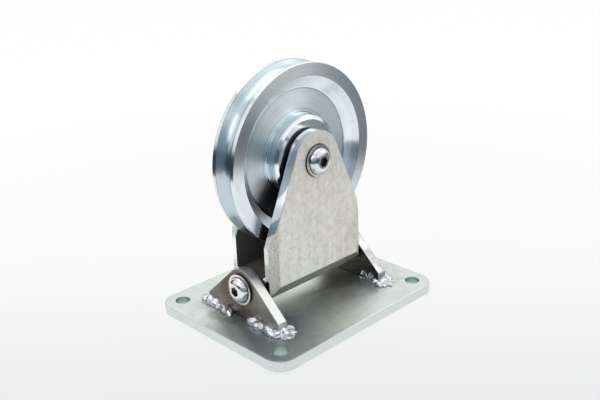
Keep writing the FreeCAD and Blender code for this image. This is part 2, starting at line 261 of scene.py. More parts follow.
def makeSweep(opts):
    material = bpy.data.materials.new("whiteSweep")
    material.use_nodes = True
    tree = material.node_tree
    tree.nodes.clear()
    spot = putNode(tree, "TexCoord").outputs["Object"]
    nearer = vectorMath(tree, "DOT_PRODUCT", spot, opts["shadeWay"])
    tone = blend(tree, smooth(tree, nearer, *opts["shadeFrom"]), opts["floorWhite"], opts["floorShade"])
    across, along = [vectorMath(tree, "DOT_PRODUCT", spot, opts[key]) for key in ("across", "along")]
    sheet = times(tree, between(tree, across, opts["sheetLeft"], opts["sheetRight"]),
                  smooth(tree, along, *opts["sheetFront"]))
    room = useGroup(tree, studioRoom, {"Direction": spot})
    away = vectorMath(tree, "LENGTH", spot)
    box = times(tree, room["Box"], smooth(tree, away, *opts["boxFrom"]))
    lit = calc(tree, "MAXIMUM", calc(tree, "MAXIMUM", sheet, box), room["Back"])
    mirrorTone = blend(tree, lit, room["Tone"], opts["floorWhite"])
    path = putNode(tree, "LightPath").outputs
    colour = blend(tree, path["Is Glossy Ray"], tone, mirrorTone)
    glow = putNode(tree, "Emission", {"Color": colour, "Strength": 1.0}).outputs[0]
    matt = putNode(tree, "BsdfDiffuse", {"Color": (*opts["floorMatt"], 1.0)}).outputs[0]
    share = smooth(tree, away, *opts["shadowReach"], *opts["shadowShare"])
    shadow = times(tree, share, calc(tree, "SUBTRACT", 1.0, path["Is Glossy Ray"]))
    shown = putNode(tree, "MixShader", {0: shadow, 1: glow, 2: matt}).outputs[0]
    seen = calc(tree, "ADD", path["Is Camera Ray"], path["Is Glossy Ray"], True)
    seen = calc(tree, "ADD", seen, path["Is Transmission Ray"], True)
    both = putNode(tree, "MixShader", {0: seen, 1: matt, 2: shown}).outputs[0]
    putNode(tree, "OutputMaterial", {"Surface": both})
    return material


def makeFloor(opts):
    bpy.ops.object.select_all(action="DESELECT")
    bpy.ops.mesh.primitive_plane_add(size=opts["floorSize"], location=(0, 0, -opts["floorGap"]))
    floor = bpy.context.object
    floor.name = "floor"
    bpy.ops.object.transform_apply(location=True)
    floor.data.materials.append(makeSweep(opts))


def addLamps(opts):
    for name, place, size, power in opts["lamps"]:
        bpy.ops.object.light_add(type="AREA", location=place)
        lamp = bpy.context.object
        lamp.name = name
        lamp.data.size = size
        lamp.data.energy = power
        lamp.visible_camera = False
        lamp.rotation_euler = (Vector(opts["lampAim"]) - Vector(place)).to_track_quat("-Z", "Y").to_euler()


studioRoom = makeStudioRoom(studioSet)
makeWorld(studioSet)
makeFloor(studioSet)
addLamps(studioSet)
print("studio ready")


# shared surface effects

effectSet = {
    "cloud": (4.0, 0.6), "grain": (2.0, 0.7), "streak": 3.0,        # noise detail, roughness
    "cloudRange": (0.3, 0.7), "grainRange": (0.25, 0.75),
    "tintNoise": (220.0, 3.0), "tintFade": (0.35, 1.0),
    "faceFrom": 0.96, "edgeTo": 0.4, "underTo": -0.3,       # cosines with the plate's axis, and upwards
    "bandNoise": (260.0, 2.0), "ringDetail": 2.0,
}


def makeSteelGrain(opts):
    group, given, out = newGroup("steelGrain", {"Vector": "vector", "Cloud Scale": "value",
                                                "Grain Scale": "value", "Streak": "vector"},
                                 {"Cloud": "value", "Grain": "value", "Streaks": "value"})
    cloud = noise(group, given["Vector"], given["Cloud Scale"], *opts["cloud"])
    grain = noise(group, given["Vector"], given["Grain Scale"], *opts["grain"])
    drawn = vectorMath(group, "MULTIPLY", given["Vector"], given["Streak"])
    streak = noise(group, drawn, 1.0, opts["streak"])
    putOut(group, out, Cloud=smooth(group, cloud, *opts["cloudRange"]),
           Grain=smooth(group, grain, *opts["grainRange"]),
           Streaks=smooth(group, streak, *opts["cloudRange"]))
    return group


def makeHeatTint(opts):
    group, given, out = newGroup("heatTint", {"Vector": "vector", "Centre": "vector", "Reach": "value",
                                              "Ragged": "value"}, {"Mask": "value"})
    away = vectorMath(group, "DISTANCE", given["Vector"], given["Centre"])
    wobble = calc(group, "SUBTRACT", noise(group, given["Vector"], *opts["tintNoise"]), 0.5)
    wobble = times(group, wobble, given["Ragged"])
    share = calc(group, "ADD", calc(group, "DIVIDE", away, given["Reach"]), wobble)
    putOut(group, out, Mask=smooth(group, share, *opts["tintFade"], 1.0, 0.0))
    return group


def makeCutFaces(opts):
    group, given, out = newGroup("cutFaces", {"Plate Axis": "vector"},
                                 {"Face": "value", "Slant": "value", "Edge": "value", "Under": "value"})
    normal = putNode(group, "TexCoord").outputs["Normal"]
    along = calc(group, "ABSOLUTE", vectorMath(group, "DOT_PRODUCT", normal, given["Plate Axis"]))
    face = calc(group, "GREATER_THAN", along, opts["faceFrom"])
    edge = calc(group, "LESS_THAN", along, opts["edgeTo"])
    putOut(group, out, Face=face, Edge=edge,
           Slant=calc(group, "SUBTRACT", 1.0, calc(group, "ADD", face, edge), True),
           Under=calc(group, "LESS_THAN", split(group, normal)["Z"], opts["underTo"]))
    return group


def makeTurningMarks(opts):
    group, given, out = newGroup("turningMarks", {"Vector": "vector", "Centre": "vector", "Pitch": "value"},
                                 {"Rings": "value", "Bands": "value", "Radius": "value", "Offset": "value"})
    spoke = vectorMath(group, "SUBTRACT", given["Vector"], given["Centre"])
    depth = split(group, spoke)["Y"]
    radius = vectorMath(group, "LENGTH", vectorMath(group, "MULTIPLY", spoke, (1, 0, 1)))
    line = putNode(group, "CombineXYZ", {0: radius, 1: depth}).outputs[0]
    fine = noise(group, line, given["Pitch"], opts["ringDetail"])
    wide = noise(group, line, *opts["bandNoise"])
    putOut(group, out, Rings=smooth(group, fine, *opts["grainRange"]),
           Bands=smooth(group, wide, *opts["cloudRange"]),
           Radius=radius, Offset=calc(group, "ABSOLUTE", depth))
    return group


steelGrain = makeSteelGrain(effectSet)
heatTint = makeHeatTint(effectSet)
cutFaces = makeCutFaces(effectSet)
turningMarks = makeTurningMarks(effectSet)
print("surface effects ready")


def grainOn(tree, spot, cloud, grain, streak):
    return useGroup(tree, steelGrain, {"Vector": spot, "Cloud Scale": cloud, "Grain Scale": grain,
                                       "Streak": streak})


def stainOn(tree, spot, centre, reach, ragged, share):
    stain = useGroup(tree, heatTint, {"Vector": spot, "Centre": centre, "Reach": reach, "Ragged": ragged})
    return times(tree, stain["Mask"], share)


# materials

plateSet = {
    "pale": (0.70, 0.745, 0.715), "dull": (0.62, 0.67, 0.64), "metal": 0.86, "rough": (0.33, 0.38),
    "grain": (60.0, 900.0, (110.0, 620.0, 110.0)), "patina": (95.0, 150.0, (620.0, 110.0, 110.0)),
    "hues": [("Cloud", (0.76, 0.735, 0.69), 0.55), ("Grain", (0.58, 0.67, 0.70), 0.60)],
    "hueFrom": (0.45, 1.0), "drawnFrom": (0.2, 0.8), "drawnShare": 0.22,
    "strip": (0.78, 0.86, 0.81), "stripFrom": (-0.0045, -0.0010),               # painted reflection: a pale strip under the fork
    "stripLeft": (-0.014, 0.000), "stripRight": (0.018, 0.026), "stripWave": 0.0025,
    # painted shade: a dark line under the fork, beside the painted reflection
    "band": (0.36, 0.36, 0.30), "bandAt": -0.0070, "bandHalf": (0.0008, 0.0026), "bandShare": 0.45,
    "stains": [((-0.0425, 0.0020, 0.006), 0.013, (0.07, 0.06, 0.05), 0.80),     # soot, and painted shadow, between the left beads
               ((-0.0490, 0.0120, 0.006), 0.008, (0.24, 0.20, 0.15), 0.45),
               ((-0.0270, -0.0240, 0.006), 0.013, (0.44, 0.56, 0.64), 0.45),
               ((0.0240, -0.0090, 0.006), 0.012, (0.32, 0.28, 0.22), 0.45)],
    "burnt": (0.20, 0.17, 0.145), "burntAt": (0.0400, 0.0210, 0.006), "burntReach": 0.020, "burntShare": 0.30,
    "ragged": 0.9, "filmRagged": 0.25,
    # painted dark reflection over the plate's front left corner
    "film": (0.21, 0.25, 0.26), "filmAt": (-0.062, -0.036, 0.006), "filmReach": 0.061, "filmShare": 0.84,
    "edge": (0.68, 0.74, 0.73), "edgeDark": (0.46, 0.50, 0.49), "mottleFrom": (0.55, 1.0), "mottleShare": 0.4,
    # painted shade: darker teal walls inside the bolt holes
    "hole": (0.40, 0.53, 0.49), "holeAt": (0.0525, 0.040, 0.0), "holeReach": (0.0044, 0.0048),
    "speck": (0.34, 0.27, 0.19), "speckNoise": (760.0, 1.0), "speckFrom": (0.72, 0.80), "speckShare": 0.35,
    "bump": (0.08, 0.0003),
}


def makePlateZinc(opts):
    material, tree, shader, spot = newMaterial("plateZinc")
    part = split(tree, spot)
    grain = grainOn(tree, spot, *opts["grain"])
    patina = grainOn(tree, spot, *opts["patina"])
    faces = useGroup(tree, cutFaces, {"Plate Axis": (0, 0, 1)})
    top = blend(tree, grain["Cloud"], opts["dull"], opts["pale"])
    for key, tone, share in opts["hues"]:
        top = blend(tree, smooth(tree, patina[key], *opts["hueFrom"], 0.0, share), top, tone)
    drawn = times(tree, grain["Streaks"], patina["Streaks"])
    drawn = smooth(tree, drawn, *opts["drawnFrom"], 0.0, opts["drawnShare"])
    top = blend(tree, drawn, top, opts["edgeDark"])
    wavy = calc(tree, "ADD", part["Y"], times(tree, patina["Cloud"], opts["stripWave"]))
    # the region under the fork that gets a painted pale reflection and a painted shade band
    under = between(tree, part["X"], opts["stripLeft"], opts["stripRight"])
    top = blend(tree, times(tree, under, smooth(tree, wavy, *opts["stripFrom"])), top, opts["strip"])
    # painted shade line under the fork
    band = lineAt(tree, wavy, opts["bandAt"], opts["bandHalf"], opts["bandShare"])
    top = blend(tree, times(tree, under, band), top, opts["band"])
    for centre, reach, tone, share in opts["stains"]:
        top = blend(tree, stainOn(tree, spot, centre, reach, opts["ragged"], share), top, tone)
    x, y, z = opts["burntAt"]
    for centre in ((-x, y, z), (-x, -y, z), (x, y, z), (x, -y, z)):       # round each lug's ends
        heat = stainOn(tree, spot, centre, opts["burntReach"], opts["ragged"], opts["burntShare"])
        top = blend(tree, heat, top, opts["burnt"])
    # painted dark reflection on the plate's front left
    film = stainOn(tree, spot, opts["filmAt"], opts["filmReach"], opts["filmRagged"], opts["filmShare"])
    top = blend(tree, film, top, opts["film"])
    mottle = smooth(tree, grain["Grain"], *opts["mottleFrom"], 0.0, opts["mottleShare"])
    edge = blend(tree, mottle, opts["edge"], opts["edgeDark"])
    folded = vectorMath(tree, "ABSOLUTE", spot)             # the four holes fall on one
    folded = vectorMath(tree, "MULTIPLY", folded, (1, 1, 0))
    bored = smooth(tree, vectorMath(tree, "DISTANCE", folded, opts["holeAt"]), *opts["holeReach"], 1.0, 0.0)
    edge = blend(tree, bored, edge, opts["hole"])
    colour = blend(tree, faces["Edge"], top, edge)
    speck = smooth(tree, noise(tree, spot, *opts["speckNoise"]), *opts["speckFrom"], 0.0, opts["speckShare"])
    feed(tree, shader["Base Color"], blend(tree, speck, colour, opts["speck"]))
    shader["Metallic"].default_value = opts["metal"]
    feed(tree, shader["Roughness"], smooth(tree, grain["Cloud"], 0.0, 1.0, *opts["rough"]))
    addBump(tree, shader, grain["Grain"], *opts["bump"])
    return material


lugSet = {
    "grain": (110.0, 1200.0, (90.0, 900.0, 90.0)), "rough": (0.34, 0.46), "bump": (0.05, 0.0003),
    "burnt": (0.135, 0.105, 0.085), "grey": (0.30, 0.285, 0.265), "pivot": (0.0, 0.004, 0.023),
    "burntReach": (0.010, 0.027), "burntWave": 0.008,
    # painted shade on the lugs' inner faces, turned towards the fork
    "inner": (0.075, 0.082, 0.074), "innerAt": (0.0367, 0.0370),
    "scale": (0.50, 0.46, 0.40), "scaleShare": 0.40, "speckFrom": (0.5, 1.0),
    "edge": (0.69, 0.70, 0.695), "roundTop": (0.50, 0.54, 0.54), "tintFrom": (0.0285, 0.0330),
    "smear": (0.34, 0.33, 0.34), "smearCloud": (0.0, 0.6, 0.3, 1.0), "smearSpecks": 0.30,
    "smearSides": (-0.01, 0.01), "smearShare": (0.15, 0.80),        # left lug, right lug
    # painted contact shade: a dark line where the lug's foot meets the plate
    "crack": (0.03, 0.03, 0.03), "crackAt": (0.0061, 0.0067),
}


def makeLugSteel(opts):
    material, tree, shader, spot = newMaterial("lugSteel")
    part = split(tree, spot)
    grain = grainOn(tree, spot, *opts["grain"])
    faces = useGroup(tree, cutFaces, {"Plate Axis": (1, 0, 0)})
    away = vectorMath(tree, "DISTANCE", vectorMath(tree, "MULTIPLY", spot, (0, 1, 1)), opts["pivot"])
    ragged = calc(tree, "ADD", away, times(tree, grain["Cloud"], opts["burntWave"]))
    flat = blend(tree, smooth(tree, ragged, *opts["burntReach"]), opts["burnt"], opts["grey"])
    # painted shade on the inner faces
    inside = smooth(tree, calc(tree, "ABSOLUTE", part["X"]), *opts["innerAt"], 1.0, 0.0)
    flat = blend(tree, inside, flat, opts["inner"])
    scaly = smooth(tree, grain["Grain"], *opts["speckFrom"], 0.0, opts["scaleShare"])
    flat = blend(tree, scaly, flat, opts["scale"])
    edge = blend(tree, smooth(tree, part["Z"], *opts["tintFrom"]), opts["edge"], opts["roundTop"])
    smeared = times(tree, smooth(tree, grain["Cloud"], *opts["smearCloud"]),
                    smooth(tree, part["X"], *opts["smearSides"], *opts["smearShare"]))
    specks = smooth(tree, grain["Grain"], *opts["speckFrom"], 0.0, opts["smearSpecks"])
    edge = blend(tree, calc(tree, "MAXIMUM", smeared, specks), edge, opts["smear"])
    colour = blend(tree, faces["Edge"], flat, edge)
    # painted contact shade along the foot
    crack = smooth(tree, part["Z"], *opts["crackAt"], 1.0, 0.0)
    feed(tree, shader["Base Color"], blend(tree, crack, colour, opts["crack"]))
    shader["Metallic"].default_value = 1.0
    feed(tree, shader["Roughness"], smooth(tree, grain["Grain"], 0.0, 1.0, *opts["rough"]))
    addBump(tree, shader, grain["Grain"], *opts["bump"])
    return material


cheekSet = {
    "pale": (0.935, 0.915, 0.865), "dull": (0.82, 0.80, 0.745), "metal": 0.5, "rough": (0.46, 0.56),
    "grain": (230.0, 1000.0, (560.0, 560.0, 30.0)), "bump": (0.12, 0.0003),
    "cool": (0.83, 0.90, 0.885), "coolWay": (0.6, 0.0, 0.8), "coolNoise": (60.0, 3.0), "coolWave": -0.13,
    "coolFrom": (-0.060, -0.010), "coolShare": 0.42,
    "olive": (0.50, 0.44, 0.32), "oliveStain": ((0.033, -0.0172, 0.040), 0.017, 0.9, 0.30),
    "streak": (0.697, 0.680, 0.63325), "streakFrom": (0.4, 1.0), "streakShare": 0.26,
    "brown": (0.34, 0.25, 0.17), "halo": ((0.0, -0.0172, 0.088), 0.014, 0.6, 0.12),    # round the axle screw
    "rubNoise": (330.0, 5.0, 0.7), "rubFrom": (0.45, 0.70), "rubShare": 0.24,
    "pitFrom": (0.5, 1.0), "pitShare": 0.20,
    # painted shadow: a dark ring round the axle screw's flange
    "gap": (0.015, 0.013, 0.012), "gapReach": (0.0087, 0.0094), "gapShare": 0.95,
    # "under" is painted shade on the bevels' downward faces
    "bevel": (0.74, 0.735, 0.69), "sawn": (0.46, 0.455, 0.41), "under": (0.26, 0.285, 0.26),
    "sawTurn": (0.0, 0.8, 0.0), "sawScale": (2600, 1000, 1000), "sawFrom": (0.42, 0.62), "sawDetail": 2.0,
    "edge": (0.93, 0.945, 0.95), "edgeDark": (0.62, 0.64, 0.67), "edgeRough": 0.15,
    "patchScale": (40, 40, 60), "patchFrom": (0.42, 0.60), "patchShare": 0.7, "patchDetail": 2.0,
    "bendMark": (0.36, 0.39, 0.43), "bendFrom": (0.046, 0.050), "bendTo": (0.056, 0.061), "bendShare": 0.6,
    "lowEdge": (0.25, 0.235, 0.21), "lowAt": (0.028, 0.038), "lowShare": 0.8,
    "lowSpecks": (0.40, 0.60, 0.35, 1.0),
    # painted shade on the cheeks' inner faces, darkest low on the front cheek
    "inner": (0.15, 0.155, 0.15), "innerAt": (0.0115, 0.0120),
    "innerFront": (0.03, 0.035, 0.038), "innerTop": (0.090, 0.098),
}


def makeCheekSteel(opts):
    material, tree, shader, spot = newMaterial("cheekSteel")
    part = split(tree, spot)
    grain = grainOn(tree, spot, *opts["grain"])
    faces = useGroup(tree, cutFaces, {"Plate Axis": (0, 1, 0)})

    flat = blend(tree, grain["Cloud"], opts["dull"], opts["pale"])
    slow = calc(tree, "ADD", vectorMath(tree, "DOT_PRODUCT", spot, opts["coolWay"]),
                times(tree, noise(tree, spot, *opts["coolNoise"]), opts["coolWave"]))
    flat = blend(tree, smooth(tree, slow, *opts["coolFrom"], opts["coolShare"], 0.0), flat, opts["cool"])
    flat = blend(tree, stainOn(tree, spot, *opts["oliveStain"]), flat, opts["olive"])
    drawn = smooth(tree, grain["Streaks"], *opts["streakFrom"], 0.0, opts["streakShare"])
    flat = blend(tree, drawn, flat, opts["streak"])
    flat = blend(tree, stainOn(tree, spot, *opts["halo"]), flat, opts["brown"])
    rubbed = smooth(tree, noise(tree, spot, *opts["rubNoise"]), *opts["rubFrom"], 0.0, opts["rubShare"])
    flat = blend(tree, rubbed, flat, opts["brown"])
    pits = smooth(tree, grain["Grain"], *opts["pitFrom"], 0.0, opts["pitShare"])
    flat = blend(tree, pits, flat, opts["sawn"])
    # painted shadow ring round the axle screw
    spoke = vectorMath(tree, "MULTIPLY", vectorMath(tree, "SUBTRACT", spot, opts["halo"][0]), (1, 0, 1))
    gap = smooth(tree, vectorMath(tree, "LENGTH", spoke), *opts["gapReach"], opts["gapShare"], 0.0)
    flat = blend(tree, gap, flat, opts["gap"])
    # painted shade on the inner faces
    front = times(tree, calc(tree, "LESS_THAN", part["Y"], 0.0),
                  smooth(tree, part["Z"], *opts["innerTop"], 1.0, 0.0))
    inner = blend(tree, front, opts["inner"], opts["innerFront"])
    inside = smooth(tree, calc(tree, "ABSOLUTE", part["Y"]), *opts["innerAt"], 1.0, 0.0)
    flat = blend(tree, inside, flat, inner)

    turn = putNode(tree, "Mapping", {"Vector": spot, "Rotation": opts["sawTurn"], "Scale": opts["sawScale"]})
    saw = noise(tree, turn.outputs[0], 1.0, opts["sawDetail"])
    sawn = smooth(tree, saw, *opts["sawFrom"])
    bevel = blend(tree, sawn, opts["bevel"], opts["sawn"])
    # painted shade on the downward faces
    bevel = blend(tree, faces["Under"], bevel, opts["under"])

    patch = noise(tree, vectorMath(tree, "MULTIPLY", spot, opts["patchScale"]), 1.0, opts["patchDetail"])
    patched = smooth(tree, patch, *opts["patchFrom"], 0.0, opts["patchShare"])
    edge = blend(tree, patched, opts["edge"], opts["edgeDark"])
    marked = between(tree, part["Z"], opts["bendFrom"], opts["bendTo"], opts["bendShare"])
    edge = blend(tree, marked, edge, opts["bendMark"])
    low = times(tree, smooth(tree, part["Z"], *opts["lowAt"], opts["lowShare"], 0.0),
                smooth(tree, saw, *opts["lowSpecks"]))
    edge = blend(tree, low, edge, opts["lowEdge"])

    colour = blend(tree, faces["Slant"], blend(tree, faces["Edge"], flat, edge), bevel)
    feed(tree, shader["Base Color"], colour)
    feed(tree, shader["Metallic"], mixValue(tree, faces["Edge"], opts["metal"], 1.0))
    rough = smooth(tree, grain["Streaks"], 0.0, 1.0, *opts["rough"])
    feed(tree, shader["Roughness"], mixValue(tree, faces["Edge"], rough, opts["edgeRough"]))
    bumps = calc(tree, "ADD", times(tree, sawn, faces["Slant"]), times(tree, grain["Grain"], faces["Face"]))
    addBump(tree, shader, bumps, *opts["bump"])
    return material


sheaveSet = {
    "centre": (0, 0, 0.088), "pitch": 2600.0, "grain": (620.0, 2000.0, (300, 300, 300)),
    "pale": (0.87, 0.90, 0.92), "dull": (0.77, 0.825, 0.865),
    "webTint": (0.885, 0.97, 1.0), "tintTo": (0.0385, 0.0405), "tintShare": 0.95,
    "tintRings": (0.1, 0.7, 0.45, 1.0),
    "webFrom": (0.0231, 0.0240), "webTo": (0.0352, 0.0362), "rimFrom": (0.0400, 0.0410),
    "cut": (0.52, 0.59, 0.64), "cutPitch": 760.0, "cutFrom": (0.5, 0.9), "cutShare": 0.16,
    # painted shade: thin dark lines where the web meets the hub and the rim
    "seams": (0.0247, 0.0357), "seamHalf": (0.00008, 0.00026), "seamShare": 0.55, "line": (0.20, 0.23, 0.25),
    "worn": (0.52, 0.52, 0.57), "wornNoise": (820.0, 5.0, 0.75), "wornFrom": (0.44, 0.66),
    "wornRings": (0.3, 0.8, 0.15, 1.0), "wornShare": 0.34, "wornWeb": 0.25,
    # painted shade on the hub's side
    "hubSide": (0.46, 0.57, 0.63), "hubFrom": (0.0214, 0.0221), "hubTo": (0.0229, 0.0236), "hubShare": 0.45,
    # painted shade, darker and bluer, in the rope groove
    "groove": (0.55, 0.655, 0.70), "grooveFrom": (0.0440, 0.0450), "grooveHalf": (0.0053, 0.0056),
    "burrAt": 0.00565, "burrHalf": (0.00010, 0.00025), "burrShare": 0.8,
    "rough": 0.21, "grooveRough": 0.25, "webRough": 0.40, "hubRough": 0.11,
    "marksRough": 0.04, "wornRough": 0.03, "sheen": 0.9, "sheenTurn": 0.25, "bump": (0.02, 0.0002),
}


def makeSheaveZinc(opts):
    material, tree, shader, spot = newMaterial("sheaveZinc")
    marks, wide = [useGroup(tree, turningMarks, {"Vector": spot, "Centre": opts["centre"],
                                                 "Pitch": opts[key]}) for key in ("pitch", "cutPitch")]
    radius, offset, rings = marks["Radius"], marks["Offset"], marks["Rings"]
    grain = grainOn(tree, spot, *opts["grain"])
    web = between(tree, radius, opts["webFrom"], opts["webTo"])
    colour = blend(tree, times(tree, marks["Bands"], grain["Cloud"]), opts["dull"], opts["pale"])
    tinted = times(tree, smooth(tree, radius, *opts["tintTo"], opts["tintShare"], 0.0),
                   smooth(tree, rings, *opts["tintRings"]))
    colour = blend(tree, tinted, colour, opts["webTint"])
    cut = times(tree, smooth(tree, wide["Rings"], *opts["cutFrom"], 0.0, opts["cutShare"]), web)
    colour = blend(tree, cut, colour, opts["cut"])
    # painted shade lines at the web's fillets
    for place in opts["seams"]:
        seam = lineAt(tree, radius, place, opts["seamHalf"], opts["seamShare"])
        colour = blend(tree, seam, colour, opts["line"])
    worn = times(tree, smooth(tree, noise(tree, spot, *opts["wornNoise"]), *opts["wornFrom"]),
                 smooth(tree, rings, *opts["wornRings"]))
    rim = smooth(tree, radius, *opts["rimFrom"])
    faced = calc(tree, "MAXIMUM", rim, times(tree, web, opts["wornWeb"]))
    colour = blend(tree, times(tree, times(tree, worn, faced), opts["wornShare"]), colour, opts["worn"])
    # painted shade on the hub's side
    hubSide = between(tree, radius, opts["hubFrom"], opts["hubTo"], opts["hubShare"])
    colour = blend(tree, hubSide, colour, opts["hubSide"])
    outside = smooth(tree, radius, *opts["grooveFrom"])
    inGroove = times(tree, outside, smooth(tree, offset, *opts["grooveHalf"], 1.0, 0.0))
    # painted shade in the groove
    colour = blend(tree, inGroove, colour, opts["groove"])
    burr = times(tree, outside, lineAt(tree, offset, opts["burrAt"], opts["burrHalf"], opts["burrShare"]))
    feed(tree, shader["Base Color"], blend(tree, burr, colour, opts["line"]))
    shader["Metallic"].default_value = 1.0
    shader["Anisotropic"].default_value = opts["sheen"]
    shader["Anisotropic Rotation"].default_value = opts["sheenTurn"]
    rough = smooth(tree, radius, *opts["webFrom"], opts["hubRough"], opts["rough"])
    rough = mixValue(tree, web, rough, opts["webRough"])
    rough = mixValue(tree, inGroove, rough, opts["grooveRough"])
    scatter = calc(tree, "ADD", times(tree, rings, opts["marksRough"]), times(tree, worn, opts["wornRough"]))
    feed(tree, shader["Roughness"], calc(tree, "ADD", rough, scatter))
    around = vectorMath(tree, "CROSS_PRODUCT", (0, 1, 0), vectorMath(tree, "SUBTRACT", spot, opts["centre"]))
    turned = putNode(tree, "VectorTransform", {0: around}, vector_type="VECTOR", convert_from="OBJECT",
                     convert_to="WORLD")
    feed(tree, shader["Tangent"], turned.outputs[0])
    addBump(tree, shader, rings, *opts["bump"])
    return material


screwSet = {
    "pale": (0.80, 0.80, 0.79), "dull": (0.72, 0.72, 0.72), "rough": (0.10, 0.17),
    "grain": (200.0, 2400.0, (300, 300, 300)), "bump": (0.02, 0.0002),
    # painted shade inside the hex sockets, lighter on the socket floor
    "socket": (0.06, 0.06, 0.062), "floor": (0.42, 0.41, 0.40), "socketReach": (0.00290, 0.00300),
    "socketRough": 0.45,
    # painted shade round the base of each dome
    "skirt": (0.30, 0.31, 0.33), "skirtFrom": (0.0056, 0.0070), "skirtShare": 0.20,
    # painted shade: a dark line between dome and flange
    "lip": (0.10, 0.10, 0.105), "lipAt": 0.00725, "lipHalf": (0.00012, 0.00028), "lipShare": 0.85,
    "heads": [((0, 0, 0.023), (0, 1, 1), (1, 0, 0), 0.04725),       # centre, plane, axis, top
              ((0, 0, 0.088), (1, 0, 1), (0, 1, 0), 0.02180)],
}


def makeScrewSteel(opts):
    material, tree, shader, spot = newMaterial("screwSteel")
    grain = grainOn(tree, spot, *opts["grain"])
    colour = blend(tree, grain["Cloud"], opts["dull"], opts["pale"])
    sockets = []
    floors = []
    for centre, plane, axis, topAt in opts["heads"]:
        spoke = vectorMath(tree, "SUBTRACT", spot, centre)
        reach = vectorMath(tree, "LENGTH", vectorMath(tree, "MULTIPLY", spoke, plane))
        depth = calc(tree, "ABSOLUTE", vectorMath(tree, "DOT_PRODUCT", spoke, axis))
        within = smooth(tree, reach, *opts["socketReach"], 1.0, 0.0)
        sockets.append(times(tree, within, calc(tree, "LESS_THAN", depth, topAt)))
        floors.append(useGroup(tree, cutFaces, {"Plate Axis": axis})["Face"])
        # painted shade at the dome's base
        skirt = times(tree, calc(tree, "LESS_THAN", reach, opts["lipAt"]),
                      smooth(tree, reach, *opts["skirtFrom"], 0.0, opts["skirtShare"]))
        colour = blend(tree, skirt, colour, opts["skirt"])
        # painted shade line at the dome's edge
        lip = lineAt(tree, reach, opts["lipAt"], opts["lipHalf"], opts["lipShare"])
        colour = blend(tree, lip, colour, opts["lip"])
    # painted shade in the sockets
    inside = calc(tree, "MAXIMUM", *sockets)
    socket = blend(tree, calc(tree, "MAXIMUM", *floors), opts["socket"], opts["floor"])
    feed(tree, shader["Base Color"], blend(tree, inside, colour, socket))
    shader["Metallic"].default_value = 1.0
    rough = smooth(tree, grain["Grain"], 0.0, 1.0, *opts["rough"])
    feed(tree, shader["Roughness"], calc(tree, "MAXIMUM", rough, times(tree, inside, opts["socketRough"])))
    addBump(tree, shader, grain["Grain"], *opts["bump"])
    return material


weldSet = {
    # painted shade in the beads' creases
    "pale": (0.76, 0.77, 0.80), "dull": (0.46, 0.47, 0.52), "crease": (0.07, 0.065, 0.07),
    "creaseAt": (0.36, 0.47), "rough": (0.12, 0.34), "grain": (420.0, 2500.0, (300, 300, 300)),
    "bump": (0.12, 0.0003),
}


def makeWeldMetal(opts):
    material, tree, shader, spot = newMaterial("weldMetal")
    grain = grainOn(tree, spot, *opts["grain"])
    colour = blend(tree, grain["Cloud"], opts["dull"], opts["pale"])
    # painted shade in concave creases, from pointiness
    point = putNode(tree, "NewGeometry").outputs["Pointiness"]
    crease = smooth(tree, point, *opts["creaseAt"], 1.0, 0.0)
    feed(tree, shader["Base Color"], blend(tree, crease, colour, opts["crease"]))
    shader["Metallic"].default_value = 1.0
    feed(tree, shader["Roughness"], smooth(tree, grain["Grain"], 0.0, 1.0, *opts["rough"]))
    addBump(tree, shader, grain["Cloud"], *opts["bump"])
    return material


plainSets = {       # low and high colour, roughness, scale of the clouds, metallic
    "blockSteel": ((0.16, 0.135, 0.115), (0.31, 0.265, 0.225), (0.4, 0.6), 80.0, 0.5),
    "bushBronze": ((0.45, 0.33, 0.18), (0.56, 0.42, 0.24), (0.3, 0.45), 120.0, 1.0),
    "bearingSteel": ((0.56, 0.56, 0.57), (0.66, 0.66, 0.67), (0.15, 0.25), 150.0, 1.0),
    "cageSteel": ((0.44, 0.43, 0.42), (0.55, 0.54, 0.53), (0.3, 0.42), 300.0, 1.0),
    "sealRubber": ((0.012, 0.012, 0.013), (0.022, 0.022, 0.024), (0.55, 0.72), 400.0, 0.0),
}
plainDetail = {"grainFiner": 12, "bump": (0.1, 0.0002)}


def makePlain(name, low, high, rough, scale, metal):
    material, tree, shader, spot = newMaterial(name)
    grain = grainOn(tree, spot, scale, scale * plainDetail["grainFiner"], (scale, scale, scale))
    feed(tree, shader["Base Color"], blend(tree, grain["Cloud"], low, high))
    shader["Metallic"].default_value = metal
    feed(tree, shader["Roughness"], smooth(tree, grain["Grain"], 0.0, 1.0, *rough))
    addBump(tree, shader, grain["Grain"], *plainDetail["bump"])
    return material


plateZinc = makePlateZinc(plateSet)
lugSteel = makeLugSteel(lugSet)
cheekSteel = makeCheekSteel(cheekSet)
sheaveZinc = makeSheaveZinc(sheaveSet)
screwSteel = makeScrewSteel(screwSet)
weldMetal = makeWeldMetal(weldSet)
plain = {name: makePlain(name, *values) for name, values in plainSets.items()}
print("materials made")


# weld beads, lump by lump

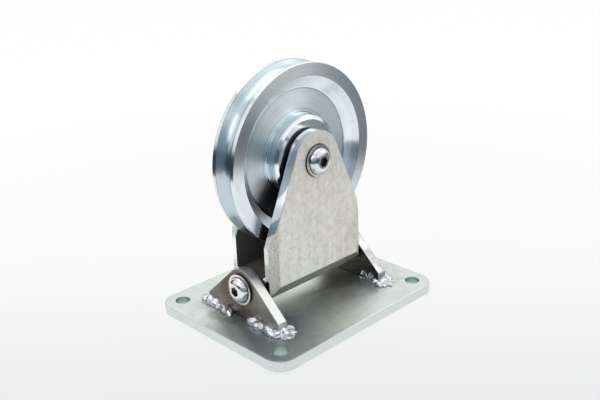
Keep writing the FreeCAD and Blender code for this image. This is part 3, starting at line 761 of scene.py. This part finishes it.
beadSet = {
    "voxel": 0.00030, "crust": 0.0007, "crustScale": 0.0046, "crustLevel": 0.6,
    "facets": 0.040, "sharp": 0.40,
    "plateTop": 0.006, "footHalf": 0.028, "lugHalf": 0.003,
    "outerRun": 0.0180, "innerRun": 0.0140, "step": 0.0041, "offWall": 0.0014,
    "across": (0.0018, 0.0033), "along": (0.0034, 0.0060), "rise": (0.0018, 0.0041), "lift": 0.2,
    "shares": (1.0, 0.72, 0.75),                            # lump size outside, round the end, inside
    "jitter": (0.0004, 0.0005), "lumpTurn": 0.6, "lumpTilt": 0.4,
    "fold": (0.0030, 0.0007, 0.0028), "foldSize": (0.8, 1.15), "foldTurn": 1.2, "foldTilt": 0.7,
    "fan": (0.0050, 0.0052, 0.0009), "fanOut": 0.0022, "fanTurn": 0.3,
    "flare": (0.0030, 0.0020, 0.0036), "flareOut": 0.0006,
    "blob": (0.0027, 0.0010, 0.0046), "blobsAt": (0.0110, 0.0055), "blobLift": 0.0006,
    "spike": (0.0031, 0.0014, 0.0006), "spikeLeans": (-0.9, 0.0, 0.8), "spikeTurn": 0.2, "spikeOut": 0.0034,
    "spikeLift": 0.0004,
}


def about(dice, most):
    return dice.uniform(-most, most)


def addLump(place, size, turn, tilt=0.0):
    bpy.ops.mesh.primitive_ico_sphere_add(subdivisions=2, radius=1.0, location=place, scale=size,
                                          rotation=(tilt, 0, turn))
    return bpy.context.object


def fuseLumps(lumps, name, opts):
    bpy.ops.object.select_all(action="DESELECT")
    for lump in lumps:
        lump.select_set(True)
    bpy.context.view_layer.objects.active = lumps[0]
    bpy.ops.object.join()
    bead = bpy.context.object
    bead.name = name
    bpy.ops.object.transform_apply(location=True, rotation=True, scale=True)
    fuse = bead.modifiers.new("fuse", "REMESH")
    fuse.mode = "VOXEL"
    fuse.voxel_size = opts["voxel"]
    bpy.ops.object.modifier_apply(modifier="fuse")
    crustTexture = bpy.data.textures.new(name + "Crust", "VORONOI")
    crustTexture.noise_scale = opts["crustScale"]
    crust = bead.modifiers.new("crust", "DISPLACE")
    crust.texture = crustTexture
    crust.texture_coords = "LOCAL"
    crust.mid_level = opts["crustLevel"]
    crust.strength = opts["crust"]
    bpy.ops.object.modifier_apply(modifier="crust")
    crumple = bead.modifiers.new("crumple", "DECIMATE")
    crumple.ratio = opts["facets"]
    bpy.ops.object.modifier_apply(modifier="crumple")
    bpy.ops.object.shade_smooth_by_angle(angle=opts["sharp"])
    bead.data.materials.clear()
    bead.data.materials.append(weldMetal)
    return bead


def trimFlat(bead, height):
    bpy.ops.object.mode_set(mode="EDIT")
    bpy.ops.mesh.select_all(action="SELECT")
    bpy.ops.mesh.bisect(plane_co=(0, 0, height), plane_no=(0, 0, 1), use_fill=True, clear_inner=True)
    bpy.ops.mesh.select_all(action="SELECT")
    bpy.ops.mesh.normals_make_consistent(inside=False)
    bpy.ops.object.mode_set(mode="OBJECT")


def wrapRoute(outward, opts):       # along the lug's outside, round its end and back along its inside
    wall = outward * (opts["lugHalf"] + opts["offWall"])
    far = opts["footHalf"] + opts["offWall"]
    corners = [(wall, opts["footHalf"] - opts["outerRun"]), (wall, far), (-wall, far),
               (-wall, opts["footHalf"] - opts["innerRun"])]
    spots = []
    for (x0, y0), (x1, y1), share in zip(corners, corners[1:], opts["shares"]):
        count = max(2, round(math.hypot(x1 - x0, y1 - y0) / opts["step"]))
        heading = math.atan2(y1 - y0, x1 - x0)
        for i in range(count):
            spots.append((x0 + (x1 - x0) * i / count, y0 + (y1 - y0) * i / count, heading, share))
    return spots


def makeLugBeads(name, middle, outward, seed, opts):
    dice = random.Random(seed)
    foot, top = opts["footHalf"], opts["plateTop"]
    lumps = []
    for end in (-1, 1):
        for x, y, heading, share in wrapRoute(outward, opts):
            size = [dice.uniform(*opts[key]) * share for key in ("along", "across", "rise")]
            place = (middle + x + about(dice, opts["jitter"][0]), end * (y + about(dice, opts["jitter"][1])),
                     top + opts["lift"] * size[2])
            turn = end * heading + about(dice, opts["lumpTurn"])
            lumps.append(addLump(place, size, turn, about(dice, opts["lumpTilt"])))
            fold = [value * share * dice.uniform(*opts["foldSize"]) for value in opts["fold"]]
            turn = end * heading + about(dice, opts["foldTurn"])
            lumps.append(addLump(place, fold, turn, about(dice, opts["foldTilt"])))
        fanAt = (middle, end * (foot + opts["fanOut"]), top)
        lumps.append(addLump(fanAt, opts["fan"], about(dice, opts["fanTurn"])))
        lumps.append(addLump((middle, end * (foot + opts["flareOut"]), top), opts["flare"], 0.0))
        for inset in opts["blobsAt"]:
            place = (middle - outward * opts["lugHalf"], end * (foot - inset), top + opts["blobLift"])
            lumps.append(addLump(place, opts["blob"], math.pi / 2))
        for lean in opts["spikeLeans"]:
            turn = end * (math.pi / 2 + lean) + about(dice, opts["spikeTurn"])
            tip = (fanAt[0] + opts["spikeOut"] * math.cos(turn), fanAt[1] + opts["spikeOut"] * math.sin(turn),
                   fanAt[2] + opts["spikeLift"])
            lumps.append(addLump(tip, opts["spike"], turn))
    bead = fuseLumps(lumps, name, opts)
    trimFlat(bead, top)
    return bead


for side, name, node, seed in ((-1, "leftLugBeads", "left_lug_welds", 11),
                               (1, "rightLugBeads", "right_lug_welds", 23)):
    low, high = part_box("left_lug" if side < 0 else "right_lug")
    bead = makeLugBeads(name, (low[0] + high[0]) / 2, side, seed, beadSet)
    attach(bead, "base")
    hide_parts(node)


forkBeadSet = dict(beadSet, crust=0.0005, crustScale=0.0014, facets=0.15, seed=5, anyTurn=3.1,
                   tackAt=(0.0342, 0.0108, 0.0292), tack=(0.0015, 0.0019),
                   tackLumps=3, tackShape=(0.85, 1.0, 0.8),
                   seamHalf=0.020, seamAt=(0.0117, 0.0196), seam=(0.0012, 0.0015), seamStep=0.0021,
                   seamShape=(1.1, 1.0, 1.0))


def makeForkBeads(opts):
    dice = random.Random(opts["seed"])
    x, y, z = opts["tackAt"]
    lumps = []
    for side in (-1, 1):
        for end in (-1, 1):
            for _ in range(opts["tackLumps"]):
                size = dice.uniform(*opts["tack"])
                place = [value + about(dice, opts["jitter"][0]) for value in (side * x, end * y, z)]
                shape = [size * share for share in opts["tackShape"]]
                lumps.append(addLump(place, shape, dice.uniform(0, opts["anyTurn"])))
        count = round(2 * opts["seamHalf"] / opts["seamStep"])
        for i in range(count + 1):
            size = dice.uniform(*opts["seam"])
            place = (opts["seamHalf"] * (2 * i / count - 1), side * opts["seamAt"][0], opts["seamAt"][1])
            shape = [size * share for share in opts["seamShape"]]
            lumps.append(addLump(place, shape, dice.uniform(0, opts["anyTurn"])))
    return fuseLumps(lumps, "forkBeads", opts)


forkBeads = makeForkBeads(forkBeadSet)
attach(forkBeads, "fork")
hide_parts("fork_welds")
print("weld beads laid")


dress(["base_plate"], plateZinc)
dress(["left_lug", "right_lug"], lugSteel)
dress(["left_lug_welds", "right_lug_welds", "fork_welds"], weldMetal)
dress(["front_cheek", "rear_cheek"], cheekSteel)
dress(["pivot_block"], plain["blockSteel"])
dress(["sheave"], sheaveZinc)
dress(["left_pivot_screw", "right_pivot_screw", "front_axle_screw", "rear_axle_screw"], screwSteel)
dress(["left_pivot_bush", "right_pivot_bush"], plain["bushBronze"])
dress([n for n in nodes if "bearing" in n or "axle_pin" in n or "axle_spacer" in n], plain["bearingSteel"])
dress(["front_bearing_seals", "rear_bearing_seals"], plain["sealRubber"])
dress(["front_bearing_cage", "rear_bearing_cage"], plain["cageSteel"])
print("materials dressed")
